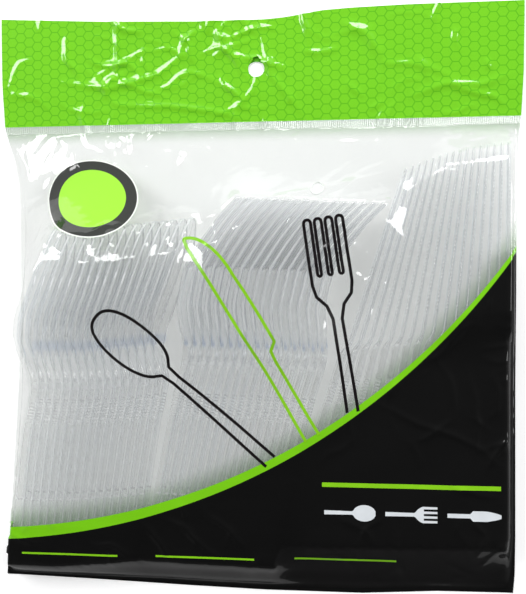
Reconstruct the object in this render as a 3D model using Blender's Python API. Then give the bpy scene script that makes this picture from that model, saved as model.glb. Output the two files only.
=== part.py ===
"""A film header bag with three nested stacks of clear plastic cutlery, lying on its back.

Spoons, forks and knives stand on edge side by side, their handles towards -Y and the bag's
header towards +Y. The front of the bag faces +Z. Lengths below are in millimetres, angles in
degrees; the objects are built in metres.
"""

import math

import bmesh
import bpy
import numpy as np

MM = 0.001

# The bag
BAG_WIDTH = 246.0
BAG_LENGTH = 266.3
SEAL_Y = 214.5          # the header starts here
FILM = 0.08             # one ply
WELD = 0.9              # width of the side and bottom welds
HANG_HOLE = (1.0, 239.0, 4.0)    # x, y, radius
VENT_HOLE = (32.0, 181.0, 2.8)
HOLE_SIDES = 16
HEADER_WAVE = 1.1
FILM_OVER_CONTENTS = 0.6
FLOOR_GAP = 0.45        # from the floor to the contents

# The cutlery
PIECES = 16
WALL = 1.1
CHANNEL_DEPTH = 3.0     # of a handle, which is a channel open to -X
BOWL_WALL = 1.25

# x of the first handle's end, pitch there, first and last lean
SPOONS = dict(x=-112.0, pitch=3.85, lean=(8.7, 10.2), tilt=5.9)
FORKS = dict(x=-48.0, pitch=3.85, lean=(11.3, 13.6), tilt=3.7)
KNIVES = dict(x=15.4, pitch=6.58, tilt=1.8)
KNIFE_LENGTH = 181.0
KNIFE_TIP_SPREAD = (55.0, 3.56)  # how far the first tip leads its handle, and the drop per knife

# along, offset to +X, width, bowl depth, share of channel in the section
SPOON_STATIONS = [
    (0.0, 0.0, 8.0, 0.0, 1.0), (2.5, 0.0, 12.0, 0.0, 1.0), (60.0, 0.0, 13.0, 0.0, 1.0),
    (84.0, 1.2, 11.0, 0.0, 1.0), (90.0, -0.4, 11.5, 0.0, 0.8), (96.0, -4.0, 14.0, 1.0, 0.35),
    (102.0, -8.2, 20.0, 3.5, 0.0), (109.0, -11.2, 28.5, 6.0, 0.0), (118.0, -10.8, 36.0, 6.5, 0.0),
    (128.0, -8.4, 38.5, 6.0, 0.0), (138.0, -5.6, 37.5, 5.0, 0.0), (147.0, -2.8, 32.5, 3.5, 0.0),
    (154.5, -0.6, 24.0, 2.0, 0.0), (158.8, 0.7, 15.5, 1.0, 0.0), (161.0, 1.4, 7.0, 0.3, 0.0),
]
FORK_STATIONS = [
    (0.0, 0.0, 8.0, 0.0, 1.0), (2.5, 0.0, 12.0, 0.0, 1.0), (75.0, 0.8, 13.5, 0.0, 1.0),
    (97.0, 2.0, 13.0, 0.0, 1.0), (103.0, 0.6, 20.0, 0.6, 0.4), (112.0, -3.5, 26.0, 1.2, 0.0),
    (123.0, -6.5, 26.0, 1.4, 0.0), (137.0, -6.0, 25.5, 1.0, 0.0),
]
TINE_STATIONS = [(150.0, -1.0, 0.8), (163.0, 5.4, 0.6), (173.0, 12.0, 0.3)]
TINE_WIDTH, TINE_GAP, TINE_TIP_WIDTH = 4.2, 2.9, 1.8
# along, low edge, high edge, half thickness at the low edge and at the high one, share of channel
KNIFE_STATIONS = [
    (0.0, -4.0, 4.0, 0.6, 0.6, 1.0), (2.5, -6.0, 6.0, 0.6, 0.6, 1.0),
    (92.0, -6.5, 6.5, 0.6, 0.6, 1.0), (100.0, -8.2, 8.2, 0.9, 0.5, 0.0),
    (108.0, -9.3, 9.3, 0.9, 0.4, 0.0), (158.0, -9.3, 9.1, 0.8, 0.35, 0.0),
    (171.0, -9.1, 6.4, 0.75, 0.35, 0.0), (178.0, -8.3, 1.6, 0.7, 0.35, 0.0),
    (KNIFE_LENGTH, -6.4, -3.4, 0.5, 0.35, 0.0),
]

# y, x of the bag's left edge and of its right one, height of the seam on the left
OUTLINE = np.array([
    (-3.0, -120.5, 117.6, 0.3), (8.0, -119.9, 118.6, 0.3), (25.0, -118.6, 118.9, 0.4),
    (94.0, -114.2, 118.9, 1.2), (117.0, -113.2, 119.1, 1.8), (136.0, -113.0, 119.3, 1.8),
    (165.0, -113.3, 119.4, 1.4), (186.0, -114.2, 119.5, 0.9), (198.0, -116.4, 119.9, 0.6),
    (207.0, -119.6, 120.6, 0.4), (214.5, -121.6, 121.5, 0.3), (235.0, -122.6, 122.6, 0.3),
    (BAG_LENGTH, -BAG_WIDTH / 2, BAG_WIDTH / 2, 0.3),
])
TOP_EDGE_DIP = np.array([(-123, 0.0), (-74, 2.6), (-26, 4.3), (4, 4.3), (14, 3.6), (22, 2.5),
                         (32, 1.0), (45, 0.4), (70, 0.0), (123, 0.0)])
BOTTOM_EDGE_DIP = np.array([(-121, 0.0), (-78, 0.9), (-30, 2.2), (5, 2.9), (50, 2.7), (84, 0.5),
                            (98, 0.3), (119, 0.0)])


def clear_scene():
    for obj in list(bpy.data.objects):
        bpy.data.objects.remove(obj, do_unlink=True)


def plastic(name, colour, alpha, roughness):
    material = bpy.data.materials.new(name)
    material.use_nodes = True
    shader = material.node_tree.nodes["Principled BSDF"]
    shader.inputs["Base Color"].default_value = (*colour, 1.0)
    shader.inputs["Alpha"].default_value = alpha
    shader.inputs["Roughness"].default_value = roughness
    material.diffuse_color = (*colour, alpha)
    return material


def mesh_of(name, points, faces, material):
    mesh = bpy.data.meshes.new(name)
    mesh.from_pydata([tuple(p) for p in np.asarray(points) * MM], [], faces)
    work = bmesh.new()
    work.from_mesh(mesh)
    bmesh.ops.recalc_face_normals(work, faces=work.faces)
    work.to_mesh(mesh)
    work.free()
    mesh.materials.append(material)
    return mesh


def add_object(name, mesh, location, rotation=(0.0, 0.0, 0.0)):
    obj = bpy.data.objects.new(name, mesh)
    obj.location = [value * MM for value in location]
    obj.rotation_euler = [math.radians(angle) for angle in rotation]
    bpy.context.scene.collection.objects.link(obj)
    return obj


# Sections. Each is a row of upper points and a row of lower points, as (x, z), so that a
# section closes up as strips between the two rows.

def channel(width, count):
    """A handle's section: a web with a flange at each side, open to -X."""
    inner = 0.25 * width * np.linspace(-1, 1, count - 4) * (count > 5)
    half = width / 2
    upper_z = np.concatenate([[-half, -half + 0.35], inner, [half - 0.35, half]])
    upper_x = np.zeros(count)
    upper_x[[0, -1]] = -CHANNEL_DEPTH
    lower_z = upper_z.copy()
    lower_z[:2] += WALL
    lower_z[-2:] -= WALL
    lower_x = np.full(count, -WALL)
    lower_x[[0, -1]] = -CHANNEL_DEPTH
    return np.array([upper_x, upper_z]).T, np.array([lower_x, lower_z]).T


def dish(width, depth, wall, shares):
    """A curved plate's section, hollow towards +X."""
    z = np.asarray(shares) * width
    x = depth * (2 * np.asarray(shares)) ** 2
    return np.array([x, z]).T, np.array([x - wall, z]).T


def mixed(first, second, share):
    return [share * a + (1 - share) * b for a, b in zip(first, second)]


def ring(along, offset, rows):
    """Both rows as points (x, along, z)."""
    points = [np.array([(x + offset, along, z) for x, z in row]) for row in rows]
    return np.stack(points)


def spoon_rings():
    shares = (-0.5, -0.31, 0.0, 0.31, 0.5)
    rings = []
    for along, offset, width, depth, share in SPOON_STATIONS:
        rows = mixed(channel(width, 5), dish(width, depth, BOWL_WALL, shares), share)
        rings.append(ring(along, offset, rows))
    return rings


def tine_shares(width, tine, gap):
    edges = [0.0]
    for _ in range(3):
        edges += [edges[-1] + tine, edges[-1] + tine + gap]
    edges.append(edges[-1] + tine)
    return (np.array(edges) - edges[-1] / 2) / edges[-1]


def fork_rings():
    shares = tine_shares(25.5, TINE_WIDTH, TINE_GAP)
    rings = []
    for along, offset, width, depth, share in FORK_STATIONS:
        rows = mixed(channel(width, 8), dish(width, depth, 1.6, shares), share)
        rings.append(ring(along, offset, rows))
    return rings


def tine_rings(index, root):
    """One tine, from its two edges at the palm's end to its tip."""
    edge = 2 * index
    rings = [root[:, edge:edge + 2]]
    middle = (root[0, edge, 2] + root[0, edge + 1, 2]) / 2
    for step, (along, offset, depth) in enumerate(TINE_STATIONS):
        share = (step + 1) / len(TINE_STATIONS)
        half = (TINE_WIDTH + (TINE_TIP_WIDTH - TINE_WIDTH) * share ** 1.6) / 2
        centre = middle * (1 - 0.05 * share)
        x = offset + depth * (centre / 12.7) ** 2
        wall = 1.6 - 0.5 * share
        rows = np.array([[(x, along, centre - half), (x, along, centre + half)],
                         [(x - wall, along, centre - half), (x - wall, along, centre + half)]])
        rings.append(rows)
    return rings


def knife_rings():
    rings = []
    for along, low, high, thick_low, thick_high, share in KNIFE_STATIONS:
        middle, width = (low + high) / 2, high - low
        z = middle + width * np.array([-0.5, -0.17, 0.17, 0.5])
        half = np.linspace(thick_low, thick_high, 4)
        blade = [np.array([half, z]).T, np.array([-half, z]).T]
        bar = [row + np.array([0.0, middle]) for row in channel(width, 4)]
        rings.append(ring(along, 0.0, mixed(bar, blade, share)))
    return rings


class Piece:
    """The points and faces of one closed shape, and the rings that the film is laid over."""

    def __init__(self):
        self.points, self.faces, self.strips = [], [], []

    def add_ring(self, rows):
        start = len(self.points)
        self.points += [tuple(p) for p in rows.reshape(-1, 3)]
        return np.arange(start, len(self.points)).reshape(2, -1)

    def join(self, first, second):
        loops = [np.concatenate([r[0], r[1][::-1]]) for r in (first, second)]
        count = len(loops[0])
        for k in range(count):
            after = (k + 1) % count
            self.faces.append([int(i) for i in (loops[0][k], loops[0][after],
                                                loops[1][after], loops[1][k])])

    def cap(self, rows, gaps=None):
        for k in gaps if gaps is not None else range(rows.shape[1] - 1):
            self.faces.append([int(i) for i in (rows[0][k], rows[0][k + 1],
                                                rows[1][k + 1], rows[1][k])])

    def loft(self, rings, start=None):
        previous = start
        for rows in rings[0 if start is None else 1:]:
            current = self.add_ring(rows)
            if previous is not None:
                self.join(previous, current)
            previous = current
            if start is None:
                start = current
        self.strips.append(np.array(rings))
        return start, previous


def make_spoon():
    piece = Piece()
    first, last = piece.loft(spoon_rings())
    piece.cap(first)
    piece.cap(last)
    return piece


def make_knife():
    piece = Piece()
    first, last = piece.loft(knife_rings())
    piece.cap(first)
    piece.cap(last)
    return piece


def make_fork():
    piece = Piece()
    rings = fork_rings()
    first, root = piece.loft(rings)
    piece.cap(first)
    piece.cap(root, gaps=(1, 3, 5))
    for index in range(4):
        start = root[:, 2 * index:2 * index + 2]
        _, last = piece.loft(tine_rings(index, rings[-1]), start)
        piece.cap(last)
    return piece


def placed(points, x, y, lean, tilt):
    """Tilted so that the head and the handle's end both rest, leaned to +X, and set down."""
    a, b = math.radians(tilt), math.radians(lean)
    p = np.asarray(points)
    along = p[..., 1] * math.cos(a) - p[..., 2] * math.sin(a)
    up = p[..., 1] * math.sin(a) + p[..., 2] * math.cos(a)
    return np.stack([x + p[..., 0] * math.cos(b) + along * math.sin(b),
                     y - p[..., 0] * math.sin(b) + along * math.cos(b), up], axis=-1)


def stacks():
    """Kind, number, x, y, lean and tilt of each of the pieces."""
    for i in range(PIECES):
        share = i / (PIECES - 1)
        spoon_y = 7.0 + 4.0 * max(0.0, (i - 5) / 10) ** 1.2
        for kind, stack, y in (("spoon", SPOONS, spoon_y), ("fork", FORKS, 11.0 - 1.5 * share)):
            lean = stack["lean"][0] + (stack["lean"][1] - stack["lean"][0]) * share
            yield kind, i + 1, stack["x"] + i * stack["pitch"], y, lean, stack["tilt"]
        ahead = KNIFE_TIP_SPREAD[0] - KNIFE_TIP_SPREAD[1] * i
        lean = math.degrees(math.asin(ahead / KNIFE_LENGTH))
        x = KNIVES["x"] + i * KNIVES["pitch"]
        yield "knife", i + 1, x, 18.3 + 2.5 * share, lean, KNIVES["tilt"]


# The film

def relief(strips):
    """The height of the contents over each square millimetre, from (-130, -10)."""
    heights = np.zeros((260, 285))
    for strip in strips:
        loop = np.concatenate([strip[:, 0], strip[:, 1, ::-1], strip[:, :1, 0]], axis=1)
        for low, high in zip(loop[:-1], loop[1:]):
            steps = int(np.linalg.norm(high - low, axis=1).max() / 0.7) + 2
            t = np.linspace(0, 1, steps)[:, None, None]
            rings = low + (high - low) * t
            s = np.linspace(0, 1, 12)[:, None, None, None]
            dense = (rings[:, :-1] + (rings[:, 1:] - rings[:, :-1]) * s).reshape(-1, 3)
            column = np.clip((dense[:, 0] + 130).astype(int), 0, 259)
            row = np.clip((dense[:, 1] + 10).astype(int), 0, 284)
            np.maximum.at(heights, (column, row), dense[:, 2])
    return heights


def spaced(start, end, step):
    count = max(1, round((end - start) / step))
    return list(np.linspace(start, end, count + 1)[1:])


def across():
    """Shares of the width, closer together at the two edges."""
    edge = [0.0, WELD, 3.2, 8.5]
    half = [x / BAG_WIDTH for x in edge]
    middle = (HANG_HOLE[0] + BAG_WIDTH / 2) / BAG_WIDTH
    left = half + spaced(half[-1], middle, 9.4 / BAG_WIDTH)
    right = spaced(middle, 1 - half[-1], 9.4 / BAG_WIDTH)[:-1] + [1 - s for s in half[::-1]]
    return np.array(left + right)


def upwards():
    """The rows' heights on the sheet, and the row at which the header starts."""
    rows = [0.0, WELD, 3.5, 9.0]
    rows += spaced(9.0, VENT_HOLE[1], 10.2) + spaced(VENT_HOLE[1], 204.0, 7.7) + [209.5]
    seal = len(rows)
    rows += [SEAL_Y, 218.0, 224.5] + spaced(224.5, HANG_HOLE[1], 7.3)
    rows += spaced(HANG_HOLE[1], BAG_LENGTH, 7.0)
    return np.array(rows), seal


def outline(y, column):
    return np.interp(y, OUTLINE[:, 0], OUTLINE[:, column])


def plan(shares, rows):
    """Where each node of the sheet lies in plan, as two arrays."""
    y = np.repeat(rows[None, :], len(shares), axis=0)
    left, right = outline(y, 1), outline(y, 2)
    x = left + shares[:, None] * (right - left)
    top = np.interp(x, TOP_EDGE_DIP[:, 0], TOP_EDGE_DIP[:, 1])
    bottom = np.interp(x, BOTTOM_EDGE_DIP[:, 0], BOTTOM_EDGE_DIP[:, 1])
    stretch_up = np.clip((y - 246) / (BAG_LENGTH - 246), 0, 1) ** 1.5
    stretch_down = np.clip(1 - y / 7.0, 0, 1)
    return x, y - top * stretch_up - bottom * stretch_down


def back_heights(x, y):
    """The back ply: flat on the floor but for its seams and a slightly wavy header."""
    left, right = outline(y, 1), outline(y, 2)
    edge = np.minimum(x - left, right - x)
    rise = np.clip(1 - edge / 4.6, 0, 1)
    seam = np.where(x < 0, outline(y, 3), 0.3)
    z = seam * rise
    into = np.clip((y - SEAL_Y) / 14.0, 0, 1)
    wave = 0.5 + 0.5 * np.sin(x / 23.0 + 0.7) * np.cos((y - SEAL_Y) / 19.0 + x / 60.0)
    return z + HEADER_WAVE * into * wave


def node_obstacles(x, y, heights):
    """The height the film keeps at each node: that of all it spans up to the next nodes."""
    found = np.zeros_like(x)
    for i in range(x.shape[0]):
        for j in range(x.shape[1]):
            near = np.s_[max(i - 1, 0):i + 2, max(j - 1, 0):j + 2]
            a = int(np.clip(x[near].min() + 130 - 0.6, 0, 259))
            b = int(np.clip(x[near].max() + 130 + 1.6, 1, 260))
            c = int(np.clip(y[near].min() + 10 - 0.6, 0, 284))
            d = int(np.clip(y[near].max() + 10 + 1.6, 1, 285))
            found[i, j] = heights[a:b, c:d].max()
    return found


def drape(x, y, back, obstacle, seal):
    """The front ply: a skin drawn tight from its welds over the contents."""
    floor = np.where(obstacle > 0, obstacle + FILM_OVER_CONTENTS, back + 0.5)
    z = np.maximum(floor, back + 2 * FILM)
    fixed = np.ones_like(z, bool)
    fixed[2:-2, 2:seal] = False
    z[fixed] = back[fixed] + 2 * FILM
    left, right = x[1:-1] - x[:-2], x[2:] - x[1:-1]
    down, up = y[:, 1:-1] - y[:, :-2], y[:, 2:] - y[:, 1:-1]
    left, right, down, up = left[:, 1:-1], right[:, 1:-1], down[1:-1], up[1:-1]
    weight = 1 / (left * right) + 1 / (down * up)
    free = ~fixed[1:-1, 1:-1]
    for _ in range(3000):
        side = (z[:-2, 1:-1] / left + z[2:, 1:-1] / right) / (left + right)
        fore = (z[1:-1, :-2] / down + z[1:-1, 2:] / up) / (down + up)
        level = np.maximum((side + fore) / weight, floor[1:-1, 1:-1])
        z[1:-1, 1:-1] = np.where(free, level, z[1:-1, 1:-1])
    return z


def at_point(px, py, x, y, z):
    """The sheet's height at a point, from the four nodes about it."""
    j = int(np.searchsorted(y[len(y) // 2], py)) - 1
    i = int(np.argmax(x[:, j] > px)) - 1
    u = (px - x[i, j]) / (x[i + 1, j] - x[i, j])
    v = (py - y[i, j]) / (y[i, j + 1] - y[i, j])
    low = z[i, j] * (1 - u) + z[i + 1, j] * u
    high = z[i, j + 1] * (1 - u) + z[i + 1, j + 1] * u
    return low * (1 - v) + high * v


def node_nearest(spec, x, rows):
    j = int(np.argmin(abs(rows - spec[1])))
    return int(np.argmin(abs(x[:, j] - spec[0]))), j


class Sheet:
    """Collects the bag's points and faces."""

    def __init__(self):
        self.points, self.faces = [], []

    def nodes(self, x, y, z, where):
        index = np.full(x.shape, -1)
        for i, j in zip(*np.nonzero(where)):
            index[i, j] = len(self.points)
            self.points.append((x[i, j], y[i, j], z[i, j]))
        return index

    def cells(self, index, columns, rows, holes):
        """Quads over a block of the grid, leaving out the four cells about each hole."""
        for i in range(*columns):
            for j in range(*rows):
                if any(i in (a - 1, a) and j in (b - 1, b) for a, b in holes):
                    continue
                corners = index[i, j], index[i + 1, j], index[i + 1, j + 1], index[i, j + 1]
                self.faces.append([int(c) for c in corners])

    def hole(self, index, node, spec, x, y, z):
        """A ring of points about a hole, joined to the eight nodes about it."""
        a, b = node
        ring_start = len(self.points)
        for k in range(HOLE_SIDES):
            turn = 2 * math.pi * k / HOLE_SIDES
            px, py = spec[0] + spec[2] * math.cos(turn), spec[1] + spec[2] * math.sin(turn)
            self.points.append((px, py, at_point(px, py, x, y, z)))
        around = [(1, 0), (1, 1), (0, 1), (-1, 1), (-1, 0), (-1, -1), (0, -1), (1, -1)]
        ring_at = [ring_start + k for k in range(HOLE_SIDES)]
        for k, (di, dj) in enumerate(around):
            outer = int(index[a + di, b + dj])
            ahead = around[(k + 1) % 8]
            following = int(index[a + ahead[0], b + ahead[1]])
            before, here, after = (ring_at[(2 * k + s) % HOLE_SIDES] for s in (-1, 0, 1))
            self.faces += [[outer, before, here], [outer, here, after],
                           [outer, after, following]]
        return ring_at

    def wall(self, first, second):
        for k in range(len(first)):
            after = (k + 1) % len(first)
            self.faces.append([int(first[k]), int(first[after]),
                               int(second[after]), int(second[k])])


def rim(index):
    """The nodes round the grid's edge, in order."""
    last_i, last_j = index.shape[0] - 1, index.shape[1] - 1
    loop = [index[i, 0] for i in range(last_i)] + [index[last_i, j] for j in range(last_j)]
    loop += [index[i, last_j] for i in range(last_i, 0, -1)]
    return loop + [index[0, j] for j in range(last_j, 0, -1)]


def make_bag(heights):
    shares, (rows, seal) = across(), upwards()
    x, y = plan(shares, rows)
    back = back_heights(x, y)
    front = drape(x, y, back, node_obstacles(x, y, heights), seal)
    columns, count = x.shape
    hang, vent = node_nearest(HANG_HOLE, x, rows), node_nearest(VENT_HOLE, x, rows)
    sheet = Sheet()
    everywhere = np.ones_like(x, bool)
    no_hang, no_vent = everywhere.copy(), everywhere.copy()
    no_hang[hang], no_vent[vent] = False, False
    outer_front = sheet.nodes(x, y, front, no_hang & no_vent)
    outer_back = sheet.nodes(x, y, back, no_hang)
    sheet.cells(outer_front, (0, columns - 1), (0, count - 1), [hang, vent])
    sheet.cells(outer_back, (0, columns - 1), (0, count - 1), [hang])
    sheet.wall(rim(outer_front), rim(outer_back))
    sheet.wall(sheet.hole(outer_front, hang, HANG_HOLE, x, y, front),
               sheet.hole(outer_back, hang, HANG_HOLE, x, y, back))
    # The pouch's inside: the plies meet along the welds.
    pouch = np.zeros_like(x, bool)
    pouch[1:-1, 1:seal + 1] = True
    inside = pouch.copy()
    inside[[1, -2], :], inside[:, 1], inside[:, seal] = False, False, False
    welds = sheet.nodes(x, y, (front + back) / 2, pouch & ~inside)
    inner_front = sheet.nodes(x, y, front - FILM, inside & no_vent)
    inner_back = sheet.nodes(x, y, back + FILM, inside)
    inner_front[pouch & ~inside] = welds[pouch & ~inside]
    inner_back[pouch & ~inside] = welds[pouch & ~inside]
    sheet.cells(inner_front, (1, columns - 2), (1, seal), [vent])
    sheet.cells(inner_back, (1, columns - 2), (1, seal), [])
    sheet.wall(sheet.hole(outer_front, vent, VENT_HOLE, x, y, front),
               sheet.hole(inner_front, vent, VENT_HOLE, x, y, front - FILM))
    return np.array(sheet.points), sheet.faces


def main():
    clear_scene()
    clear = plastic("clear_plastic", (0.86, 0.88, 0.91), 0.45, 0.06)
    film = plastic("printed_film", (0.62, 0.72, 0.52), 0.35, 0.12)
    shapes = {"spoon": make_spoon(), "fork": make_fork(), "knife": make_knife()}
    meshes = {kind: mesh_of(kind, piece.points, piece.faces, clear)
              for kind, piece in shapes.items()}
    places, strips = [], []
    for kind, number, x, y, lean, tilt in stacks():
        lift = FLOOR_GAP - placed(shapes[kind].points, x, y, lean, tilt)[:, 2].min()
        strips += [placed(strip, x, y, lean, tilt) + (0.0, 0.0, lift)
                   for strip in shapes[kind].strips]
        places.append((kind, number, np.array([x, y, lift]), (tilt, 0.0, -lean)))
    points, faces = make_bag(relief(strips))
    low, high = points.min(axis=0), points.max(axis=0)
    origin = np.array([(low[0] + high[0]) / 2, (low[1] + high[1]) / 2, low[2]])
    add_object("bag", mesh_of("bag", points, faces, film), -origin)
    for kind, number, location, rotation in places:
        add_object(f"{kind}_{number:02d}", meshes[kind], location - origin, rotation)


main()
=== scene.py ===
"""A printed film header bag with sixteen spoons, forks and knives of clear plastic inside it.

Plan coordinates are millimetres from the middle of the pack, +X to the right, +Y towards the
header, +Z up. The pack lies on its back on a pale floor.
"""

import math

import bmesh
import bpy
import numpy as np
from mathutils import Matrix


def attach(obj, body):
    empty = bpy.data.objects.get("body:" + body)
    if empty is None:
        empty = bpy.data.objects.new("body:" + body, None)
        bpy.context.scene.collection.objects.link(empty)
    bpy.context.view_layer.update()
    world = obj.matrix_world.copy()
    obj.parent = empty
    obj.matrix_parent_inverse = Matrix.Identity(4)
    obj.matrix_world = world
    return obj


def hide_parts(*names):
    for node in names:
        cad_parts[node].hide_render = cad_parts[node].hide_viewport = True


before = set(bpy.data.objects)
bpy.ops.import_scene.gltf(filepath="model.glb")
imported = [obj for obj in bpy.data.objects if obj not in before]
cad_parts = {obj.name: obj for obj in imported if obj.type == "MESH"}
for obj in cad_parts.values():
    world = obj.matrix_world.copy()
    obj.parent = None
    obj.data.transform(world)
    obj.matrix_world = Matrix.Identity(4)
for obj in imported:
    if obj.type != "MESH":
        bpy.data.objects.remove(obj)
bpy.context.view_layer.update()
CAD_TOP = 39.0

MM = 0.001
SEED = 48

# The bag, in millimetres. Heights up the bag (v) run from its lower weld.
V_MIDDLE = 131.71           # v of plan Y = 0
BAG_LENGTH = 266.3
SEAL_V = 214.5
WELD = 0.9
PLY = 0.08
CELL = 0.92
HANG_HOLE = (1.0, 107.29, 3.8, 6.3)      # x, y, radius, distance of the teardrop's tip
HANG_HOLE_BACK = (1.0, 106.4, 4.3, 4.3)
VENT_HOLE = (32.0, 49.29, 2.7, 2.7)
# v, x of the left edge and of the right one, height of the left seam
OUTLINE = np.array([
    (-3.0, -120.5, 117.6, 0.3), (8.0, -119.9, 118.6, 0.3), (25.0, -118.6, 118.9, 0.4),
    (94.0, -114.2, 118.9, 1.2), (117.0, -113.2, 119.1, 1.8), (136.0, -113.0, 119.3, 1.8),
    (165.0, -113.3, 119.4, 1.4), (186.0, -114.2, 119.5, 0.9), (198.0, -116.4, 119.9, 0.6),
    (207.0, -119.6, 120.6, 0.4), (214.5, -121.6, 121.5, 0.3), (235.0, -122.6, 122.6, 0.3),
    (BAG_LENGTH, -123.0, 123.0, 0.3),
])
TOP_EDGE_DIP = np.array([(-123, 0.0), (-74, 2.6), (-26, 4.3), (4, 4.3), (14, 3.6), (22, 2.5),
                         (32, 1.0), (45, 0.4), (70, 0.0), (123, 0.0)])
BOTTOM_EDGE_DIP = np.array([(-121, 0.0), (-78, 0.9), (-30, 2.2), (5, 2.9), (50, 2.7), (84, 0.5),
                            (98, 0.3), (119, 0.0)])

# The print, in plan coordinates
ARC = (-132.06, 199.77, 306.57)          # the green stripe's upper edge: centre and radius
FIELD = (-136.5, 198.2, 310.9)           # the black field's upper edge
ROUNDEL = (-73.4, 46.8)
LINE_WIDTH = 1.4

# The cutlery
PIECES = 16
WALL = 1.1
CHANNEL_DEPTH = 3.0
BOWL_WALL = 1.25
FLOOR_GAP = 0.45
SPOONS = dict(x=-112.0, pitch=3.85, lean=(8.7, 10.2), tilt=5.9)
FORKS = dict(x=-48.0, pitch=3.85, lean=(11.3, 13.6), tilt=3.7)
KNIVES = dict(x=15.4, pitch=6.58, tilt=1.8)
KNIFE_LENGTH = 181.0
KNIFE_TIP_SPREAD = (55.0, 3.56)
# along, offset to +X, width, bowl depth, share of channel in the section
SPOON_STATIONS = [
    (0.0, 0.0, 8.0, 0.0, 1.0), (2.5, 0.0, 12.0, 0.0, 1.0), (60.0, 0.0, 13.0, 0.0, 1.0),
    (84.0, 1.2, 11.0, 0.0, 1.0), (90.0, -0.4, 11.5, 0.0, 0.8), (96.0, -4.0, 14.0, 1.0, 0.35),
    (102.0, -8.2, 20.0, 3.5, 0.0), (109.0, -11.2, 28.5, 6.0, 0.0), (118.0, -10.8, 36.0, 6.5, 0.0),
    (128.0, -8.4, 38.5, 6.0, 0.0), (138.0, -5.6, 37.5, 5.0, 0.0), (147.0, -2.8, 32.5, 3.5, 0.0),
    (154.5, -0.6, 24.0, 2.0, 0.0), (158.8, 0.7, 15.5, 1.0, 0.0), (161.0, 1.4, 7.0, 0.3, 0.0),
]
FORK_STATIONS = [
    (0.0, 0.0, 8.0, 0.0, 1.0), (2.5, 0.0, 12.0, 0.0, 1.0), (75.0, 0.8, 13.5, 0.0, 1.0),
    (97.0, 2.0, 13.0, 0.0, 1.0), (103.0, 0.6, 20.0, 0.6, 0.4), (112.0, -3.5, 26.0, 1.2, 0.0),
    (123.0, -6.5, 26.0, 1.4, 0.0), (137.0, -6.0, 25.5, 1.0, 0.0),
]
TINE_STATIONS = [(137.0, -6.0, 1.0), (150.0, -1.0, 0.8), (163.0, 5.4, 0.6), (173.0, 12.0, 0.3)]
TINE_WIDTH, TINE_GAP, TINE_TIP_WIDTH = 4.2, 2.9, 1.8
FORK_WALL, TINE_TIP_WALL = 1.6, 1.1
# along, low edge, high edge, half thickness at the low edge and at the high one, share of channel
KNIFE_STATIONS = [
    (0.0, -4.0, 4.0, 0.6, 0.6, 1.0), (2.5, -6.0, 6.0, 0.6, 0.6, 1.0),
    (92.0, -6.5, 6.5, 0.6, 0.6, 1.0), (100.0, -8.2, 8.2, 0.9, 0.5, 0.0),
    (108.0, -9.3, 9.3, 0.9, 0.4, 0.0), (158.0, -9.3, 9.1, 0.8, 0.35, 0.0),
    (171.0, -9.1, 6.4, 0.75, 0.35, 0.0), (178.0, -8.3, 1.6, 0.7, 0.35, 0.0),
    (KNIFE_LENGTH, -6.4, -3.4, 0.5, 0.35, 0.0),
]
BAND = (69.0, 79.0)         # the moulded beading on a handle
BAND_PITCH = 1.45
BAND_DEPTH = 0.32
GRIP_STEP = 33.0            # a small step across the handle
TEETH = (108.0, 170.0)      # the knife's serrated stretch
TEETH_PITCH = 1.7
TEETH_DEPTH = 0.3

# The photograph's viewpoint
VIEW_TILT = math.radians(9.0)
VIEW_DISTANCE = 550.0
VIEW_AIM = (4.0, 1.3)
FOCAL_SHARE = 2.1505 * VIEW_DISTANCE / 526.0     # focal length over the frame's width


# Small helpers

def linear(red, green, blue):
    """A colour given as 0 to 255 display values."""
    values = [v / 255.0 for v in (red, green, blue)]
    return [v / 12.92 if v <= 0.04045 else ((v + 0.055) / 1.055) ** 2.4 for v in values] + [1.0]


def smooth(t):
    t = np.clip(t, 0.0, 1.0)
    return t * t * (3 - 2 * t)


def tangents(at, values):
    """Slopes for a cubic through a table that doesn't overshoot it."""
    steps = np.diff(at)[:, None]
    slopes = np.diff(values, axis=0) / steps
    before, after = slopes[:-1], slopes[1:]
    same = before * after > 0
    mean = np.where(same, 2 * before * after / np.where(same, before + after, 1.0), 0.0)
    return np.concatenate([slopes[:1], mean, slopes[-1:]])


def eased(table, along):
    """The table's columns at each distance along, on a smooth monotone curve."""
    table = np.asarray(table, float)
    at, values = table[:, 0], table[:, 1:]
    slopes = tangents(at, values)
    k = np.clip(np.searchsorted(at, along, side="right") - 1, 0, len(at) - 2)
    width = (at[k + 1] - at[k])[:, None]
    t = ((along - at[k])[:, None]) / width
    a, b = values[k], values[k + 1]
    m, n = slopes[k] * width, slopes[k + 1] * width
    return (a * (1 + 2 * t) * (1 - t) ** 2 + m * t * (1 - t) ** 2
            + b * t * t * (3 - 2 * t) + n * t * t * (t - 1))


def mesh_object(name, points, faces, material, sharp=None, painted_edge_light=None):
    """An object from points in millimetres, with its edges over the sharp angle kept crisp.
    The last argument gives each point's painted light: painted highlight on thin edges, painted
    dark-blue shade below zero."""
    mesh = bpy.data.meshes.new(name)
    mesh.from_pydata((np.asarray(points) * MM).tolist(), [], [list(map(int, f)) for f in faces])
    work = bmesh.new()
    work.from_mesh(mesh)
    if sharp is not None:
        bmesh.ops.recalc_face_normals(work, faces=work.faces)
        for edge in work.edges:
            if len(edge.link_faces) == 2 and edge.calc_face_angle(0.0) > math.radians(sharp):
                edge.smooth = False
    for face in work.faces:
        face.smooth = True
    work.to_mesh(mesh)
    work.free()
    if painted_edge_light is not None:
        # Stored as the edge attribute: painted highlight, and painted shade below zero.
        mesh.attributes.new("edge", "FLOAT", "POINT").data.foreach_set("value", painted_edge_light)
    mesh.materials.append(material)
    obj = bpy.data.objects.new(name, mesh)
    bpy.context.scene.collection.objects.link(obj)
    return obj


# Materials

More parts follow.
